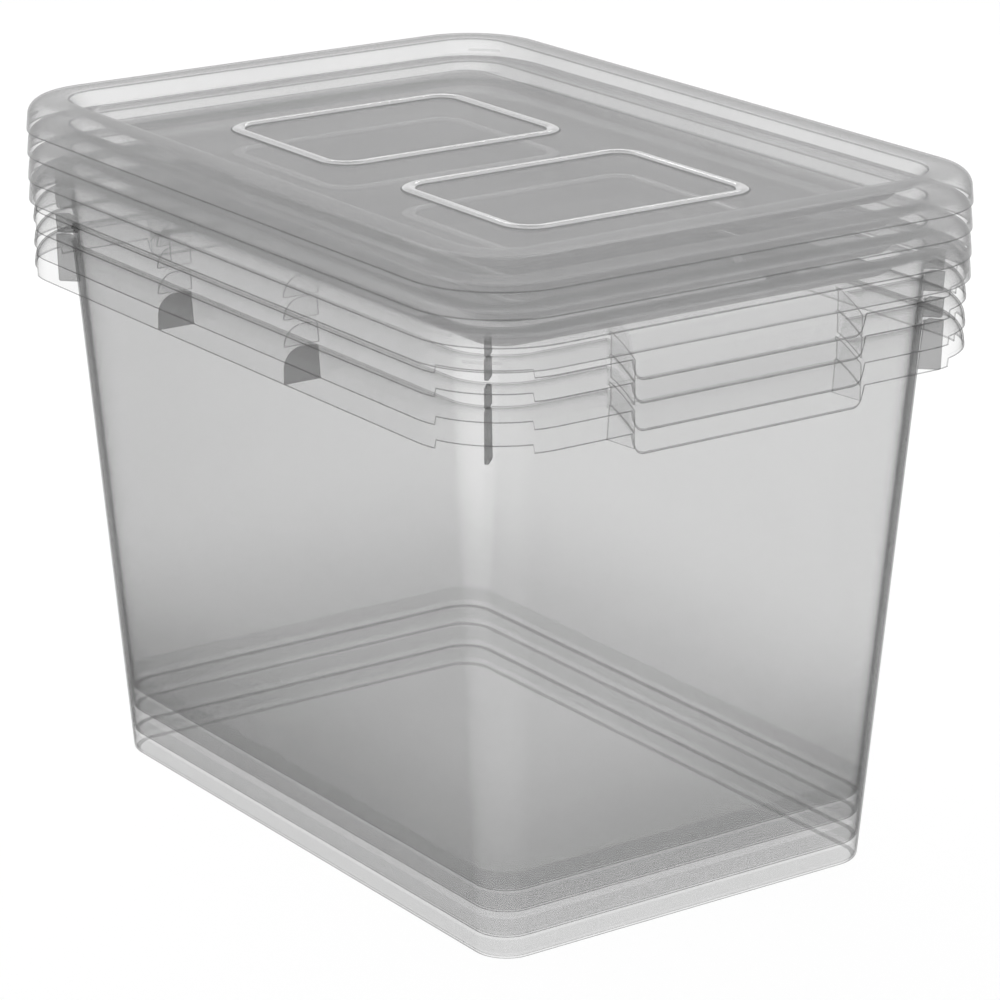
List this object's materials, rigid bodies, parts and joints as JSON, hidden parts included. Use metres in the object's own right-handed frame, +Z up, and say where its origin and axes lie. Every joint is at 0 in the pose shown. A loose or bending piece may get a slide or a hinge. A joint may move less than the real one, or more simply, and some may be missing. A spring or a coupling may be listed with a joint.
{
  "type": "stackable storage bin",
  "caption": "Deep clear storage tubs with tapered walls, end handles and turned-over rims, nested in each other, with their sunk-panel lids nested on top.",
  "frame": {"origin": "centre of the lowest tub's underside, on the surface that the stack stands on", "axes": "+Z up, +X along the long side towards one handle, +Y along the short side"},
  "size_m": [0.6, 0.431, 0.4896],
  "materials": {
    "clear_tub": "clear glossy polypropylene, faintly grey",
    "clear_lid": "clear polypropylene with a slight haze, faintly grey"
  },
  "bodies": {
    "tub_1": {"tub_1": "clear_tub"},
    "tub_2": {"tub_2": "clear_tub"},
    "tub_3": {"tub_3": "clear_tub"},
    "tub_4": {"tub_4": "clear_tub"},
    "lid_1": {"lid_1": "clear_lid"},
    "lid_2": {"lid_2": "clear_lid"},
    "lid_3": {"lid_3": "clear_lid"},
    "lid_4": {"lid_4": "clear_lid"}
  },
  "joints": [
    {"name": "tub_2_lift", "type": "slide", "parent": "tub_1", "child": "tub_2", "axis": [0, 0, 1], "range_m": [0, 0.4]},
    {"name": "tub_3_lift", "type": "slide", "parent": "tub_2", "child": "tub_3", "axis": [0, 0, 1], "range_m": [0, 0.4]},
    {"name": "tub_4_lift", "type": "slide", "parent": "tub_3", "child": "tub_4", "axis": [0, 0, 1], "range_m": [0, 0.4]},
    {"name": "lid_1_lift", "type": "slide", "parent": "tub_4", "child": "lid_1", "axis": [0, 0, 1], "range_m": [0, 0.1]},
    {"name": "lid_2_lift", "type": "slide", "parent": "lid_1", "child": "lid_2", "axis": [0, 0, 1], "range_m": [0, 0.1]},
    {"name": "lid_3_lift", "type": "slide", "parent": "lid_2", "child": "lid_3", "axis": [0, 0, 1], "range_m": [0, 0.1]},
    {"name": "lid_4_lift", "type": "slide", "parent": "lid_3", "child": "lid_4", "axis": [0, 0, 1], "range_m": [0, 0.1]}
  ]
}
